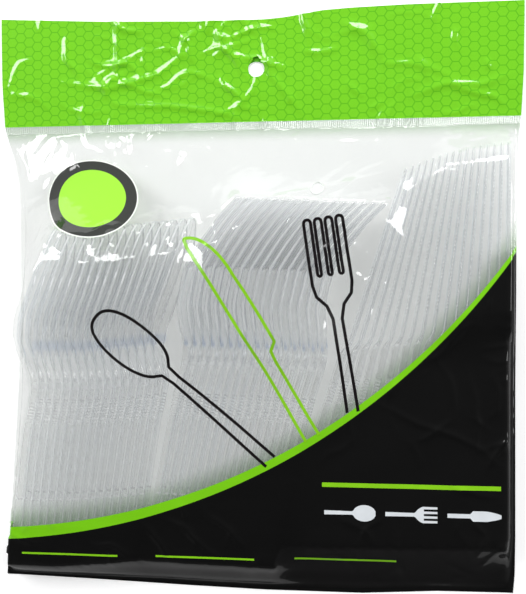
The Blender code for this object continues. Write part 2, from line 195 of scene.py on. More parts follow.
class Shader:
    """Writes one material's nodes."""

    def __init__(self, name):
        self.material = bpy.data.materials.new(name)
        self.material.use_nodes = True
        self.tree = self.material.node_tree
        self.tree.nodes.clear()
        self.output = self.tree.nodes.new("ShaderNodeOutputMaterial")
        self.where = self.node("TexCoord").outputs["Object"]
        split = self.node("SeparateXYZ")
        self.feed(split.inputs[0], self.where)
        self.x = self.maths("MULTIPLY", split.outputs[0], 1000.0)
        self.y = self.maths("MULTIPLY", split.outputs[1], 1000.0)

    def node(self, kind, **settings):
        made = self.tree.nodes.new("ShaderNode" + kind)
        for key, value in settings.items():
            setattr(made, key, value)
        return made

    def feed(self, socket, value):
        if isinstance(value, bpy.types.NodeSocket):
            self.tree.links.new(value, socket)
        else:
            socket.default_value = value

    def maths(self, operation, *values, clamp=False):
        made = self.node("Math", operation=operation, use_clamp=clamp)
        for socket, value in zip(made.inputs, values):
            self.feed(socket, value)
        return made.outputs[0]

    def ramp(self, value, start, end, low=0.0, high=1.0):
        """A smooth step from low to high as value goes from start to end."""
        made = self.node("MapRange", interpolation_type="SMOOTHSTEP")
        for socket, number in zip(made.inputs, (value, start, end, low, high)):
            self.feed(socket, number)
        return made.outputs[0]

    def radius(self, centre, half_x=1.0, half_y=1.0, slant=0.0):
        y = self.maths("SUBTRACT", self.y, centre[1])
        x = self.maths("SUBTRACT", self.x, centre[0])
        x = self.maths("SUBTRACT", x, self.maths("MULTIPLY", y, slant))
        x, y = self.maths("DIVIDE", x, half_x), self.maths("DIVIDE", y, half_y)
        total = self.maths("ADD", self.maths("MULTIPLY", x, x), self.maths("MULTIPLY", y, y))
        return self.maths("SQRT", total)

    def colour(self, share, first, second):
        made = self.node("Mix", data_type="RGBA")
        self.feed(made.inputs[0], share)
        self.feed(made.inputs[6], first)
        self.feed(made.inputs[7], second)
        return made.outputs[2]

    def noise(self, scale, detail=2.0, stretch=(1.0, 1.0, 1.0)):
        place = self.node("Mapping")
        self.feed(place.inputs[0], self.where)
        place.inputs["Scale"].default_value = stretch
        made = self.node("TexNoise")
        self.feed(made.inputs["Vector"], place.outputs[0])
        made.inputs["Scale"].default_value = scale
        made.inputs["Detail"].default_value = detail
        return made.outputs["Fac"]

    def bump(self, height, strength, distance):
        made = self.node("Bump")
        made.inputs["Strength"].default_value = strength
        made.inputs["Distance"].default_value = distance
        self.feed(made.inputs["Height"], height)
        return made.outputs[0]

    def mixed(self, share, first, second):
        made = self.node("MixShader")
        self.feed(made.inputs[0], share)
        self.feed(made.inputs[1], first)
        self.feed(made.inputs[2], second)
        return made.outputs[0]

    def done(self, surface):
        self.feed(self.output.inputs[0], surface)
        return self.material


def cutlery_plastic():
    """Crystal polystyrene: clear, faintly blue where it is seen edge-on, with a painted white highlight
    along its edges and painted dark-blue shade where the edge attribute is below zero.
    """
    make = Shader("crystal_plastic")
    # The edge attribute is painted light: a painted white highlight above zero, painted dark-blue shade
    # below zero.
    edge_paint_level = make.node("Attribute", attribute_name="edge").outputs["Fac"]
    # White diffuse share: 0.01 of real haze plus the painted edge highlight.
    milk = make.maths("ADD", 0.01, make.maths("MULTIPLY", edge_paint_level, 0.5))
    milk = make.maths("MAXIMUM", milk, 0.0)
    # Painted dark-blue shade, where the edge attribute is below zero.
    shade = make.maths("MULTIPLY", edge_paint_level, -1.0, clamp=True)
    edge_on = make.node("LayerWeight")
    edge_on.inputs["Blend"].default_value = 0.35
    depth = make.maths("POWER", edge_on.outputs["Facing"], 3.0)
    blue = make.colour(make.ramp(make.noise(45.0, 0.0), 0.3, 0.7), (0.90, 0.93, 0.97, 1.0),
                       (0.95, 0.965, 0.985, 1.0))
    straight = make.node("BsdfTransparent")
    tint = make.colour(depth, (1.0, 1.0, 1.0, 1.0), blue)
    make.feed(straight.inputs[0], make.colour(shade, tint, (0.45, 0.55, 0.76, 1.0)))
    haze = make.node("BsdfDiffuse")
    haze.inputs[0].default_value = (0.97, 0.98, 1.0, 1.0)
    shine = make.node("BsdfGlossy")
    shine.inputs["Roughness"].default_value = 0.10
    fresnel = make.node("Fresnel")
    fresnel.inputs["IOR"].default_value = 1.6
    body = make.mixed(milk, straight.outputs[0], haze.outputs[0])
    mirror = make.maths("MINIMUM", fresnel.outputs[0], 0.10)
    return make.done(make.mixed(mirror, body, shine.outputs[0]))


def hexagons(make, height=4.4, column=4.2):
    """1 on the lines between flat-topped hexagons."""
    across = height * math.sqrt(3) / 2
    x = make.maths("MULTIPLY", make.x, across / column)
    best = None
    for shift in (0.0, 0.5):
        cell = []
        for value, size in ((x, 2 * across), (make.y, height)):
            turned = make.maths("ADD", make.maths("DIVIDE", value, size), 100.0 + shift)
            cell.append(make.maths("MULTIPLY", make.maths(
                "ABSOLUTE", make.maths("SUBTRACT", make.maths("FRACT", turned), 0.5)), size))
        slant = make.maths("ADD", make.maths("MULTIPLY", cell[0], math.sqrt(3) / 2),
                           make.maths("MULTIPLY", cell[1], 0.5))
        far = make.maths("MAXIMUM", cell[1], slant)
        best = far if best is None else make.maths("MINIMUM", best, far)
    edge = make.maths("SUBTRACT", height / 2, best)
    return make.ramp(edge, 0.06, 0.34, 1.0, 0.0)


def film(name, build, index):
    """Clear film with ink on it. build returns the ink's colour, its cover, the milkiness and ribs."""
    make = Shader(name)
    colour, cover, milk, ribs, dull = build(make)
    crinkle = make.maths("ADD", make.noise(90.0, 2.0), make.maths("MULTIPLY", ribs, 0.5))
    normal = make.bump(crinkle, 0.35, 0.0012)
    ink = make.node("BsdfPrincipled")
    make.feed(ink.inputs["Base Color"], colour)
    ink.inputs["Roughness"].default_value = 0.5
    ink.inputs["Specular IOR Level"].default_value = 0.05
    through = make.node("BsdfTransparent")
    through.inputs[0].default_value = (0.955, 0.961, 0.955, 1.0)
    haze = make.node("BsdfDiffuse")
    haze.inputs[0].default_value = (0.80, 0.83, 0.81, 1.0)
    shine = make.node("BsdfGlossy")
    shine.inputs["Roughness"].default_value = 0.06
    make.feed(shine.inputs["Normal"], normal)
    fresnel = make.node("Fresnel")
    fresnel.inputs["IOR"].default_value = index
    make.feed(fresnel.inputs["Normal"], normal)
    mirror = make.maths("MULTIPLY", make.maths("MINIMUM", fresnel.outputs[0], 0.3), dull)
    clear = make.mixed(milk, through.outputs[0], haze.outputs[0])
    printed = make.mixed(cover, clear, ink.outputs[0])
    return make.done(make.mixed(mirror, printed, shine.outputs[0]))


def front_print(make):
    green, deep = linear(118, 205, 34), linear(92, 182, 26)
    header = make.ramp(make.y, SEAL_V - V_MIDDLE - 0.15, SEAL_V - V_MIDDLE + 0.15)
    colour = make.colour(hexagons(make), green, deep)
    stripe = make.ramp(make.radius(ARC), ARC[2] - 0.12, ARC[2] + 0.12)
    field = make.ramp(make.radius(FIELD), FIELD[2] - 0.12, FIELD[2] + 0.12)
    colour = make.colour(make.maths("SUBTRACT", 1.0, header), colour, linear(122, 204, 20))
    colour = make.colour(field, colour, linear(13, 13, 13))
    cover = make.maths("MAXIMUM", header, stripe)
    rings = ((22.9, 19.1, (236, 238, 234)), (22.3, 18.5, (30, 34, 28)), (17.0, 14.1, (150, 218, 40)))
    for half_x, half_y, ink in rings:
        inside = make.ramp(make.radius(ROUNDEL, half_x, half_y, -0.22), 0.993, 1.007, 1.0, 0.0)
        colour = make.colour(inside, colour, linear(*ink))
        cover = make.maths("MAXIMUM", cover, inside)
    seal = SEAL_V - V_MIDDLE
    band = make.maths("MULTIPLY", make.ramp(make.y, seal - 3.7, seal - 3.3),
                      make.ramp(make.y, seal, seal + 0.2, 1.0, 0.0))
    ribs = make.maths("MULTIPLY", band, make.maths("SINE", make.maths(
        "MULTIPLY", make.x, 2 * math.pi / 0.95)))
    milk = make.maths("ADD", make.maths("MULTIPLY", band, 0.34), make.maths("MULTIPLY", ribs, 0.22))
    milk = make.maths("ADD", milk, 0.045)
    return colour, cover, milk, ribs, make.maths("SUBTRACT", 1.0, make.maths("MULTIPLY", field, 0.72))


def back_print(make):
    seal = SEAL_V - V_MIDDLE
    # Green header print; its soft half-cover fade reaching 10 mm below the seal is a painted reflection
    # of the green header.
    header = make.ramp(make.y, seal - 10.0, seal + 1.0)
    field = make.ramp(make.radius(ARC), ARC[2] - 9.0, ARC[2] + 3.0)
    colour = make.colour(field, linear(80, 165, 24), linear(70, 150, 40))
    under = make.ramp(make.radius(FIELD), FIELD[2] - 1.0, FIELD[2] + 1.0)
    colour = make.colour(under, colour, linear(16, 17, 16))
    solid = make.ramp(make.y, seal - 0.5, seal + 0.5)
    cover = make.maths("MAXIMUM", make.maths("MULTIPLY", header, 0.45),
                       make.maths("MULTIPLY", field, 0.55))
    cover = make.maths("MAXIMUM", cover, make.maths("MAXIMUM", solid, under))
    return colour, cover, 0.04, 0.0, 1.0


# The cutlery's sections. Each is two rows of points (x, z) that close up as strips between them.

FLANGE = np.array([0.0, 0.05, 0.35, 0.7, 0.95, 1.0])      # shares from a flange's tip to the web


def channel(width, count, depth, lip):
    """A handle's section: a web with a flange at each side, open to -X."""
    half = width / 2
    side = len(FLANGE)
    web = np.linspace(-1, 1, count - 2 * side + 2)[1:-1] * (half - 1.9)
    out_z = -half + 0.35 * FLANGE + lip * (FLANGE == 0)
    out_x = -depth * (1 - FLANGE) - 0.2 * (FLANGE == 1.0)
    in_z = -half + WALL + 0.35 * FLANGE - lip * (FLANGE == 0)
    in_x = -depth * (1 - FLANGE) - WALL * FLANGE
    upper = np.concatenate([np.stack([out_x, out_z], 1),
                            np.stack([np.zeros_like(web), web], 1),
                            np.stack([out_x, -out_z], 1)[::-1]])
    lower = np.concatenate([np.stack([in_x, in_z], 1),
                            np.stack([np.full_like(web, -WALL), web], 1),
                            np.stack([in_x, -in_z], 1)[::-1]])
    return np.stack([upper, lower])


def even_shares(count):
    """Across a dish, with the flanges' points gathered near its rims."""
    side = len(FLANGE)
    rim = -0.5 + 0.2 * FLANGE
    web = np.linspace(-0.3, 0.3, count - 2 * side + 2)[1:-1]
    return np.concatenate([rim, web, -rim[::-1]])


def dish(width, depth, wall, shares):
    """A curved plate's section, hollow towards +X, thinner at its rims."""
    z = shares * width
    x = depth * (2 * shares) ** 2
    thin = wall * (1 - 0.45 * np.clip(abs(shares) * 2 - 0.9, 0, 1) / 0.1)
    return np.stack([np.stack([x, z], 1), np.stack([x - thin, z], 1)])


def beading(along):
    """The depth lost to the beads of the moulded band, and to the small step near the end."""
    start, end = BAND
    inside = smooth((along - start) / 0.8) * smooth((end - along) / 0.8)
    beads = inside * (0.5 + 0.5 * math.cos(2 * math.pi * (along - start) / BAND_PITCH))
    step = math.exp(-((along - GRIP_STEP) / 0.5) ** 2)
    return BAND_DEPTH * beads + 0.35 * step


def handle_marks(coarse):
    """Distances along a piece: close together in its moulded band and at its step."""
    fine = [np.arange(BAND[0] - 0.5, BAND[1] + 0.5, BAND_PITCH / 4),
            np.arange(GRIP_STEP - 1.2, GRIP_STEP + 1.21, 0.4)]
    marks = np.concatenate([coarse] + fine)
    return np.unique(np.round(marks, 3))


def rings_along(marks, table, count, wall, shares):
    rings = []
    for along, (offset, width, depth, share) in zip(marks, eased(table, marks)):
        bar = channel(width, count, CHANNEL_DEPTH - beading(along), 0.18)
        rows = share * bar + (1 - share) * dish(width, depth, wall, shares)
        x, z = rows[..., 0] + offset, rows[..., 1]
        rings.append(np.stack([x, np.full_like(x, along), z], axis=-1))
    return rings


def ring_painted_marks(count, glint_and_shade_paint=0.0):
    """The painted light on each of a ring's points: a painted white highlight along its thin edges,
    to which the second argument adds painted glints on the flanges. Below zero it is painted dark-blue
    shade."""
    if count < 2 * len(FLANGE):
        return ([1.0] + [0.35] * (count - 2) + [1.0]) * 2
    rim = [1.0, 0.3, glint_and_shade_paint, glint_and_shade_paint, 0.15 + glint_and_shade_paint, 0.6]
    web = [0.0] * (count - 2 * len(rim))
    inner = [0.8, 0.1, 0.0, 0.0, 0.0, 0.2]
    if glint_and_shade_paint < 0:
        rim = [glint_and_shade_paint] * len(rim)
    return rim + web + rim[::-1] + inner + web + inner[::-1]


def handle_painted_marks(along, neck, heel):
    """Painted glints on a handle's beading, its small step and its neck, and a painted dark-blue shade
    line at its heel.
    """
    start, end = BAND
    inside = start < along < end
    beads = inside * (0.5 - 0.5 * math.cos(2 * math.pi * (along - start) / BAND_PITCH))
    step = math.exp(-((along - GRIP_STEP) / 0.5) ** 2)
    painted_glints = 0.7 * beads + 0.8 * step + 0.75 * math.exp(-((along - neck) / 2.6) ** 2)
    return painted_glints - 1.1 * math.exp(-((along - heel) / 0.9) ** 2)


class Piece:
    """The points and faces of one closed shape, and the rings that the film is laid over."""

    def __init__(self, neck, heel):
        # self.edge holds each point's painted highlight, and painted dark-blue shade below zero; neck
        # and heel place the painted glint and the painted shade line.
        self.points, self.faces, self.strips, self.edge = [], [], [], []
        self.neck, self.heel = neck, heel

    def add_ring(self, rows):
        start = len(self.points)
        along = float(rows[..., 1].mean())
        self.edge += ring_painted_marks(rows.shape[1], handle_painted_marks(along, self.neck, self.heel))
        self.points += rows.reshape(-1, 3).tolist()
        return np.arange(start, len(self.points)).reshape(2, -1)

    def join(self, first, second):
        loops = [np.concatenate([r[0], r[1][::-1]]) for r in (first, second)]
        for k in range(len(loops[0])):
            after = (k + 1) % len(loops[0])
            self.faces.append((loops[0][k], loops[0][after], loops[1][after], loops[1][k]))

    def cap(self, rows, columns=None):
        for k in columns if columns is not None else range(rows.shape[1] - 1):
            self.faces.append((rows[0][k], rows[0][k + 1], rows[1][k + 1], rows[1][k]))

    def loft(self, rings, start=None):
        previous = first = start
        for rows in rings[0 if start is None else 1:]:
            current = self.add_ring(rows)
            if previous is None:
                first = current
            else:
                self.join(previous, current)
            previous = current
        self.strips.append(np.array(rings))
        return first, previous


def make_spoon():
    count = 25
    marks = handle_marks(np.concatenate([[0, 0.4, 1.0, 1.8], np.arange(2.5, 84, 4.5),
                                         np.arange(84, 154, 2.0), np.arange(154, 160.6, 0.9),
                                         [160.7, 161.0]]))
    # neck and heel: where the painted glint and the painted dark-blue shade line fall.
    piece = Piece(neck=87.0, heel=103.0)
    first, last = piece.loft(rings_along(marks, SPOON_STATIONS, count, BOWL_WALL,
                                         even_shares(count)))
    piece.cap(first)
    piece.cap(last)
    return piece


def tine_shares():
    """Across the palm: four points for each tine and two in each gap."""
    edges, at = [], 0.0
    for index in range(4):
        edges += list(np.linspace(at, at + TINE_WIDTH, 4))
        if index < 3:
            edges += list(np.linspace(at + TINE_WIDTH, at + TINE_WIDTH + TINE_GAP, 4)[1:-1])
        at += TINE_WIDTH + TINE_GAP
    shares = np.array(edges)
    return (shares - shares[-1] / 2) / shares[-1]


def tine_rings(index, root):
    marks = np.array([137.0, 139, 141, 144, 147, 150, 153, 156, 159, 162, 165, 168, 170, 171.4,
                      172.4, 173.0])
    start = 6 * index
    block = root[:, start:start + 4]
    centre_root = block[0, :, 2].mean()
    across = np.array([-1.0, -0.45, 0.45, 1.0])
    rings = [block]
    for along, (offset, depth) in list(zip(marks, eased(TINE_STATIONS, marks)))[1:]:
        share = (along - marks[0]) / (marks[-1] - marks[0])
        half = (TINE_WIDTH + (TINE_TIP_WIDTH - TINE_WIDTH) * share ** 1.6) / 2
        half *= math.sqrt(max(0.12, 1 - max(0.0, (along - 171.0) / 2.0) ** 2))
        centre = centre_root * (1 - 0.05 * share)
        wall = FORK_WALL + (TINE_TIP_WALL - FORK_WALL) * share
        x = offset + depth * (centre / 12.7) ** 2
        edge = 0.22 * (abs(across) == 1.0)
        z = centre + half * across
        upper = np.stack([x - edge * wall, np.full(4, along), z], 1)
        lower = np.stack([x - wall + edge * wall, np.full(4, along), z], 1)
        rings.append(np.stack([upper, lower]))
    return rings


def make_fork():
    shares = tine_shares()
    marks = handle_marks(np.concatenate([[0, 0.4, 1.0, 1.8], np.arange(2.5, 84, 4.5),
                                         np.arange(84, 126, 1.8), np.arange(126, 137.1, 2.2)]))
    rings = rings_along(marks, FORK_STATIONS, len(shares), FORK_WALL, shares)
    # neck and heel: where the painted glint and the painted dark-blue shade line fall.
    piece = Piece(neck=95.0, heel=104.5)
    first, root = piece.loft(rings)
    piece.cap(first)
    piece.cap(root, columns=[3, 4, 5, 9, 10, 11, 15, 16, 17])
    for index in range(4):
        start = root[:, 6 * index:6 * index + 4]
        _, last = piece.loft(tine_rings(index, rings[-1]), start)
        piece.cap(last)
    return piece


def make_knife():
    count = 18
    spread = even_shares(count)
    teeth = np.arange(TEETH[0], TEETH[1], TEETH_PITCH / 3)
    marks = handle_marks(np.concatenate([[0, 0.4, 1.0, 1.8], np.arange(2.5, 90, 4.5),
                                         np.arange(90, 108, 1.6), teeth,
                                         np.arange(170.5, 180.6, 1.2), [KNIFE_LENGTH]]))
    rings = []
    for along, (low, high, thick_low, thick_high, share) in zip(marks, eased(KNIFE_STATIONS, marks)):
        middle, width = (low + high) / 2, high - low
        z = middle + width * spread
        half = np.interp(spread, [-0.5, 0.5], [thick_low, thick_high])
        half *= np.sqrt(np.clip((0.5 - abs(spread)) / 0.03, 0.25, 1.0))
        blade = np.stack([np.stack([half, z], 1), np.stack([-half, z], 1)])
        bar = channel(width, count, CHANNEL_DEPTH - beading(along), 0.18) + (0.0, middle)
        rows = share * bar + (1 - share) * blade
        x, z = rows[..., 0], rows[..., 1].copy()
        if TEETH[0] < along < TEETH[1]:
            turn = (along - TEETH[0]) / TEETH_PITCH
            z[:, -3:] -= TEETH_DEPTH * abs(math.sin(math.pi * turn))
        rings.append(np.stack([x, np.full_like(x, along), z], axis=-1))
    # neck: where the painted glint falls; heel lies off the knife, so it has no painted shade line.
    piece = Piece(neck=97.0, heel=-50.0)
    first, last = piece.loft(rings)
    piece.cap(first)
    piece.cap(last)
    return piece


def placed(points, x, y, lean, tilt):
    """Tilted so that the head and the handle's end both rest, leaned to +X, and set down."""
    a, b = math.radians(tilt), math.radians(lean)
    p = np.asarray(points)
    along = p[..., 1] * math.cos(a) - p[..., 2] * math.sin(a)
    up = p[..., 1] * math.sin(a) + p[..., 2] * math.cos(a)
    return np.stack([x + p[..., 0] * math.cos(b) + along * math.sin(b),
                     y - p[..., 0] * math.sin(b) + along * math.cos(b), up], axis=-1)


def stacks():
    """Kind, number, x, v, lean and tilt of each piece."""
    for i in range(PIECES):
        share = i / (PIECES - 1)
        spoon_v = 7.0 + 4.0 * max(0.0, (i - 5) / 10) ** 1.2
        for kind, stack, v in (("spoon", SPOONS, spoon_v), ("fork", FORKS, 11.0 - 1.5 * share)):
            lean = stack["lean"][0] + (stack["lean"][1] - stack["lean"][0]) * share
            yield kind, i + 1, stack["x"] + i * stack["pitch"], v, lean, stack["tilt"]
        ahead = KNIFE_TIP_SPREAD[0] - KNIFE_TIP_SPREAD[1] * i
        lean = math.degrees(math.asin(ahead / KNIFE_LENGTH))
        x = KNIVES["x"] + i * KNIVES["pitch"]
        yield "knife", i + 1, x, 18.3 + 2.5 * share, lean, KNIVES["tilt"]


def lay_cutlery(material):
    """Makes the 48 pieces, and returns the rings that the film is laid over."""
    shapes = {"spoon": make_spoon(), "fork": make_fork(), "knife": make_knife()}
    strips = []
    for kind, number, x, v, lean, tilt in stacks():
        shape = shapes[kind]
        points = placed(shape.points, x, v - V_MIDDLE, lean, tilt)
        lift = FLOOR_GAP - points[:, 2].min()
        name = f"{kind}_{number:02d}"
        # The edge attribute carries the painted edge highlights and painted shade into the material.
        obj = mesh_object("clear_" + name, points + (0, 0, lift), shape.faces, material, sharp=38,
                          painted_edge_light=shape.edge)
        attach(obj, "root")
        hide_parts(name)
        strips += [placed(s, x, v - V_MIDDLE, lean, tilt) + (0, 0, lift) for s in shape.strips]
    return strips


# The film

class Ply:
    """A sheet of film as a grid of heights over the plan."""

    def __init__(self, cell):
        self.columns = int(246 / cell) + 1
        self.rows = int(BAG_LENGTH / cell) + 1
        self.share = np.linspace(0, 1, self.columns)[:, None] * np.ones((1, self.rows))
        self.v = np.linspace(0, BAG_LENGTH, self.rows)[None, :] * np.ones((self.columns, 1))
        left, right = self.edge(1), self.edge(2)
        self.x = left + self.share * (right - left)
        top = np.interp(self.x, TOP_EDGE_DIP[:, 0], TOP_EDGE_DIP[:, 1])
        bottom = np.interp(self.x, BOTTOM_EDGE_DIP[:, 0], BOTTOM_EDGE_DIP[:, 1])
        up = np.clip((self.v - 246) / (BAG_LENGTH - 246), 0, 1) ** 1.5
        down = np.clip(1 - self.v / 7.0, 0, 1)
        self.y = self.v - top * up - bottom * down - V_MIDDLE
        self.z = self.floor()

    def edge(self, column):
        return np.interp(self.v, OUTLINE[:, 0], OUTLINE[:, column])

    def floor(self):
        """The back ply's height: flat but for its seams and a slightly wavy header."""
        inward = np.minimum(self.x - self.edge(1), self.edge(2) - self.x)
        seam = np.where(self.x < 0, self.edge(3), 0.3)
        into = np.clip((self.v - SEAL_V) / 14.0, 0, 1)
        wave = 0.5 + 0.5 * np.sin(self.x / 23.0 + 0.7) * np.cos((self.v - SEAL_V) / 19.0
                                                                 + self.x / 60.0)
        return seam * np.clip(1 - inward / 4.6, 0, 1) + 1.1 * into * wave

    def height(self, px, py):
        """The sheet's height at plan points."""
        v = np.asarray(py) + V_MIDDLE
        left = np.interp(v, OUTLINE[:, 0], OUTLINE[:, 1])
        right = np.interp(v, OUTLINE[:, 0], OUTLINE[:, 2])
        i = np.clip((px - left) / (right - left) * (self.columns - 1), 0, self.columns - 1.001)
        j = np.clip(v / BAG_LENGTH * (self.rows - 1), 0, self.rows - 1.001)
        a, b = i.astype(int), j.astype(int)
        s, t = i - a, j - b
        return ((self.z[a, b] * (1 - s) + self.z[a + 1, b] * s) * (1 - t)
                + (self.z[a, b + 1] * (1 - s) + self.z[a + 1, b + 1] * s) * t)

    def mesh(self, name, material, holes):
        """The sheet as a mesh, with each hole's rim drawn in to its outline."""
        x, y = self.x.copy(), self.y.copy()
        keep = np.ones(x.shape, bool)
        for cx, cy, radius, tip in holes:
            dx, dy = x - cx, y - cy
            far = np.hypot(dx, dy)
            turn = abs(np.arctan2(dx, dy))
            reach = math.acos(radius / tip) if tip > radius else 0.0
            wanted = np.where(turn < reach, radius / np.cos(np.minimum(reach - turn, reach)), radius)
            inside = far < wanted
            near = inside.copy()
            near[1:-1, 1:-1] &= ~(inside[:-2, 1:-1] & inside[2:, 1:-1]
                                  & inside[1:-1, :-2] & inside[1:-1, 2:])
            scale = wanted / np.maximum(far, 1e-6)
            x[near], y[near] = cx + (dx * scale)[near], cy + (dy * scale)[near]
            keep &= ~inside | near
            hollow = inside
            keep_face = ~(hollow[:-1, :-1] & hollow[1:, :-1] & hollow[1:, 1:] & hollow[:-1, 1:])
            self.open = self.open & keep_face if hasattr(self, "open") else keep_face
        index = np.full(x.shape, -1)
        index[keep] = np.arange(keep.sum())
        points = np.stack([x[keep], y[keep], self.z[keep]], 1)
        quads = np.stack([index[:-1, :-1], index[1:, :-1], index[1:, 1:], index[:-1, 1:]], -1)
        whole = (quads >= 0).all(axis=-1) & self.open
        return mesh_object(name, points, quads[whole], material)


def relief(strips):
    """The height of the contents over each square millimetre, from plan (-130, -140)."""
    heights = np.zeros((260, 280))
    s = np.linspace(0, 1, 4)[:, None, None, None]
    for strip in strips:
        loop = np.concatenate([strip[:, 0], strip[:, 1, ::-1], strip[:, :1, 0]], axis=1)
        for low, high in zip(loop[:-1], loop[1:]):
            steps = int(np.linalg.norm(high - low, axis=1).max() / 0.8) + 2
            rings = low + (high - low) * np.linspace(0, 1, steps)[:, None, None]
            dense = (rings[:, :-1] + (rings[:, 1:] - rings[:, :-1]) * s).reshape(-1, 3)
            column = np.clip((dense[:, 0] + 130).astype(int), 0, 259)
            row = np.clip((dense[:, 1] + 140).astype(int), 0, 279)
            np.maximum.at(heights, (column, row), dense[:, 2])
    return heights


def grown(heights):
    """Each cell raised to the highest of its neighbours."""
    wide = np.pad(heights, 1)
    parts = [wide[a:a + heights.shape[0], b:b + heights.shape[1]]
             for a in range(3) for b in range(3)]
    return np.max(parts, axis=0)


def relaxed(z, floor, free, steps, sag):
    """A skin drawn tight over the floor: each free point settles between its neighbours."""
    inner = np.s_[1:-1, 1:-1]
    loose = free[inner]
    least = floor[inner]
    for _ in range(steps):
        level = (z[:-2, 1:-1] + z[2:, 1:-1] + z[1:-1, :-2] + z[1:-1, 2:]) / 4 - sag
        z[inner] = np.where(loose, np.maximum(level, least), z[inner])
    return z


def drape(heights):
    """The front ply over the contents, first coarsely and then at full detail."""
    before = None
    for cell, steps in ((4 * CELL, 900), (2 * CELL, 500), (CELL, 260)):
        ply = Ply(cell)
        back = ply.floor()
        column = np.clip((ply.x + 130).astype(int), 0, 259)
        row = np.clip((ply.y + 140).astype(int), 0, 279)
        over = heights[column, row]
        floor = np.maximum(np.where(over > 0, over + 0.35, back + 0.4), back + 2 * PLY)
        inward = np.minimum(ply.x - ply.edge(1), ply.edge(2) - ply.x)
        free = (inward > WELD) & (ply.v > WELD) & (ply.v < SEAL_V - 3.5)
        z = back + 2 * PLY
        start = floor if before is None else np.maximum(before.height(ply.x, ply.y), floor)
        z = np.where(free, start, z)
        ply.z = relaxed(z, floor, free, steps, 0.0028 * cell * cell)
        before = ply
    ply.least = floor
    return ply


def walk(rng, x, y, heading, length, jitter):
    """A wandering line in steps of 3 mm."""
    points = [(x, y)]
    for _ in range(max(2, int(length / 3.0))):
        heading += rng.normal(0.0, jitter)
        x, y = x + 3.0 * math.cos(heading), y + 3.0 * math.sin(heading)
        points.append((x, y))
    return np.array(points)


def crease(ply, points, height, width):
    """Raises a sharp fold along a line, fading out at both ends."""
    points = np.asarray(points, float)
    gaps = np.hypot(*np.diff(points, axis=0).T)
    run = np.concatenate([[0], np.cumsum(gaps)])
    reach = 5 * width
    box = ((ply.x > points[:, 0].min() - reach) & (ply.x < points[:, 0].max() + reach)
           & (ply.y > points[:, 1].min() - reach) & (ply.y < points[:, 1].max() + reach))
    x, y = ply.x[box], ply.y[box]
    rise = np.zeros_like(x)
    for k in range(len(points) - 1):
        a, d = points[k], points[k + 1] - points[k]
        t = np.clip(((x - a[0]) * d[0] + (y - a[1]) * d[1]) / max(gaps[k] ** 2, 1e-9), 0, 1)
        off = np.hypot(x - a[0] - t * d[0], y - a[1] - t * d[1])
        share = (run[k] + t * gaps[k]) / run[-1]
        fade = np.sin(math.pi * np.clip(share, 0.02, 0.98)) ** 0.6
        rise = np.maximum(rise, fade * height * np.exp(-(off / width) ** 1.3))
    ply.z[box] += rise


# Where the film is creased: x and y ranges, how many, mean heading in degrees and its spread,
# shortest and longest, lowest and highest fold, wander
CREASED = [
    ((-118, 118), (86, 128), 60, 150, 45, 8, 40, 0.2, 0.7, 0.30),
    ((-30, 20), (86, 130), 10, 115, 25, 14, 42, 0.3, 0.8, 0.22),
    ((-116, -20), (66, 81), 30, 15, 60, 5, 22, 0.25, 0.7, 0.45),
    ((-20, 116), (72, 81), 22, 10, 30, 5, 20, 0.15, 0.5, 0.35),
    ((-113, -98), (-20, 66), 18, 75, 25, 6, 24, 0.2, 0.6, 0.35),
    ((-95, 0), (12, 42), 34, 25, 45, 4, 18, 0.25, 0.7, 0.45),
    ((0, 80), (30, 58), 18, 20, 30, 5, 22, 0.2, 0.5, 0.30),
    ((20, 60), (-20, 22), 16, 60, 60, 5, 16, 0.25, 0.6, 0.45),
    ((-100, 110), (-90, 20), 40, 60, 70, 6, 26, 0.08, 0.25, 0.25),
    ((40, 116), (-100, -20), 18, 35, 50, 10, 44, 0.15, 0.4, 0.20),
    ((-110, 116), (-128, -100), 30, 80, 60, 8, 30, 0.1, 0.35, 0.25),
]
# The long folds: control points, height, width
LONG_FOLDS = [
    ([(-72, 25), (-60, 27), (-48, 30), (-40, 35), (-27, 39), (-13, 38), (0, 41), (10, 44),
      (20, 47), (34, 49), (48, 53), (62, 56), (70, 58)], 0.95, 1.25),
    ([(-66, 92), (-40, 91), (-18, 88), (-4, 84)], 1.0, 1.5),
    ([(2, 132), (5, 118), (8, 104), (18, 92), (24, 84)], 1.0, 1.5),
    ([(-96, 104), (-70, 100), (-46, 106), (-30, 118)], 0.9, 1.6),
    ([(40, 128), (52, 122), (60, 110)], 1.3, 2.4),
    ([(70, 92), (88, 98), (104, 97), (118, 102)], 0.9, 1.7),
    ([(58, -46), (76, -55), (92, -60), (104, -66), (112, -74)], 0.5, 1.2),
    ([(-50, -102), (-42, -112), (-36, -122)], 0.6, 1.2),
]


def crumple(ply):
    rng = np.random.default_rng(SEED)
    for xs, ys, count, heading, spread, short, long, low, high, jitter in CREASED:
        for _ in range(count):
            x, y = rng.uniform(*xs), rng.uniform(*ys)
            turn = math.radians(rng.normal(heading, spread))
            line = walk(rng, x, y, turn, rng.uniform(short, long), jitter)
            crease(ply, line, 1.5 * rng.uniform(low, high), rng.uniform(0.8, 1.5))
    for points, height, width in LONG_FOLDS:
        crease(ply, points, height, width)
    wave = np.sin(ply.x / 7.0 + 2 * np.sin(ply.y / 23.0)) * np.cos(ply.y / 9.0 + ply.x / 31.0)
    ply.z += 0.18 * wave * (ply.v < SEAL_V - 4)
    inward = np.minimum(ply.x - ply.edge(1), ply.edge(2) - ply.x)
    edge = smooth((inward - WELD) / 3.0) * smooth((ply.v - WELD) / 3.0)
    rest = ply.floor() + 2 * PLY
    ply.z = rest + (ply.z - rest) * edge
    ply.z = np.maximum(ply.z, np.where(edge > 0.6, ply.least - 0.15, rest))
    ply.z = np.minimum(ply.z, CAD_TOP + 0.5 * np.maximum(ply.z - CAD_TOP, 0.0))
    ply.z = np.minimum(ply.z, CAD_TOP + 1.6)


# The drawings on the film: lines printed in ink, laid on the sheet as thin ribbons.

